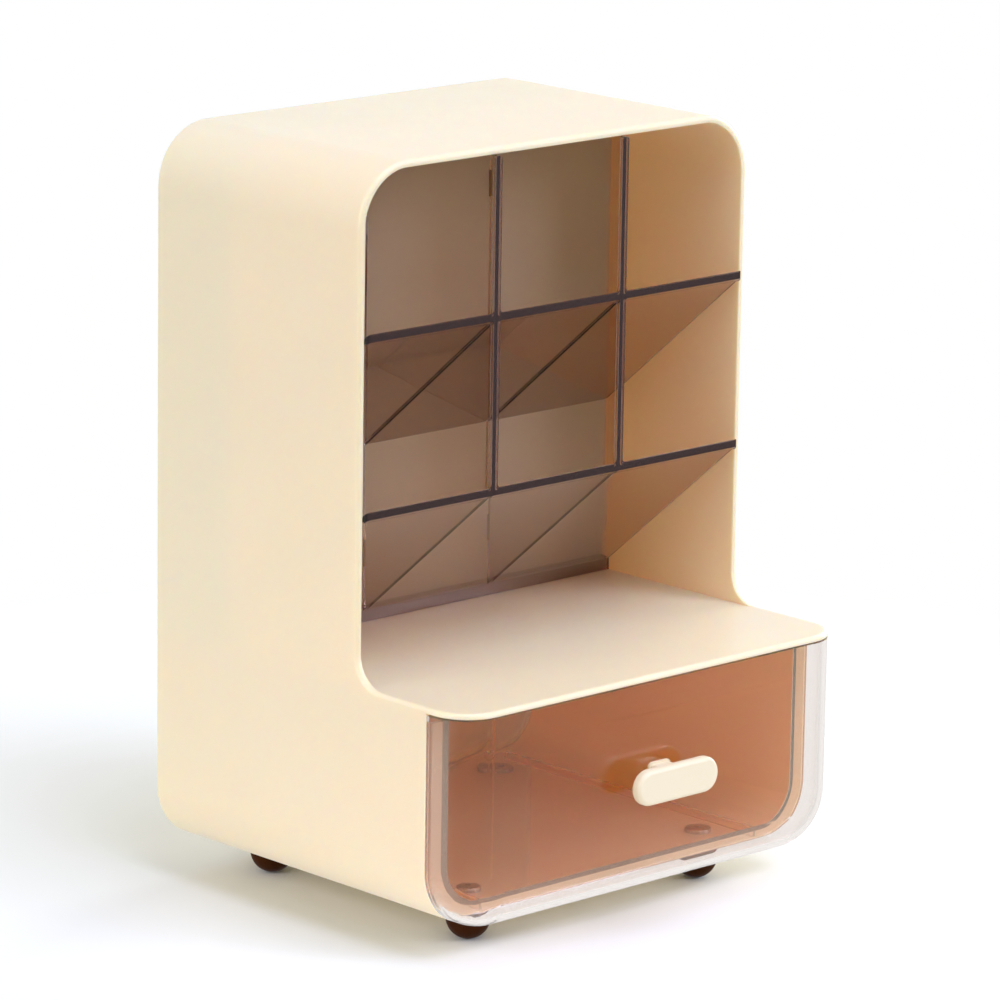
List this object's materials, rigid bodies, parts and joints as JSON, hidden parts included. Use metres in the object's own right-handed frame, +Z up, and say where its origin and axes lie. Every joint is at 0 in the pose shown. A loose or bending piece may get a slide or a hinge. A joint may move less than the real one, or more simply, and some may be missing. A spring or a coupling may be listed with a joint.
{
  "type": "craft supply organizer",
  "caption": "Desktop craft organizer: slanted pen cells in a rounded shell, an open ledge below them, a clear sliding drawer with a stadium-shaped handle, and ball feet.",
  "frame": {"origin": "middle of the bounding box on the plane that the feet stand on, with the drawer shut", "axes": "+Z up, -Y towards the front where the drawer opens, +X to the right seen from the front"},
  "size_m": [0.1746, 0.1608, 0.2573],
  "materials": {
    "cream_plastic": "smooth satin moulded plastic, cream",
    "smoked_plastic": "polished clear plastic with a smoky brown tint",
    "clear_plastic": "polished clear plastic, nearly colourless",
    "screw_steel": "plated steel",
    "foot_plastic": "satin dark brown plastic"
  },
  "bodies": {
    "body": {"outer_shell": "cream_plastic", "rear_cover": "cream_plastic", "pen_rack": "smoked_plastic", "foot_front_left": "foot_plastic", "foot_front_right": "foot_plastic", "foot_rear_left": "foot_plastic", "foot_rear_right": "foot_plastic", "foot_screws": "screw_steel"},
    "drawer": {"drawer_box": "smoked_plastic", "drawer_front": "clear_plastic", "handle": "cream_plastic", "handle_screw": "screw_steel"}
  },
  "joints": [
    {"name": "drawer_slide", "type": "slide", "parent": "body", "child": "drawer", "axis": [0, -1, 0], "range_m": [0, 0.1]}
  ]
}
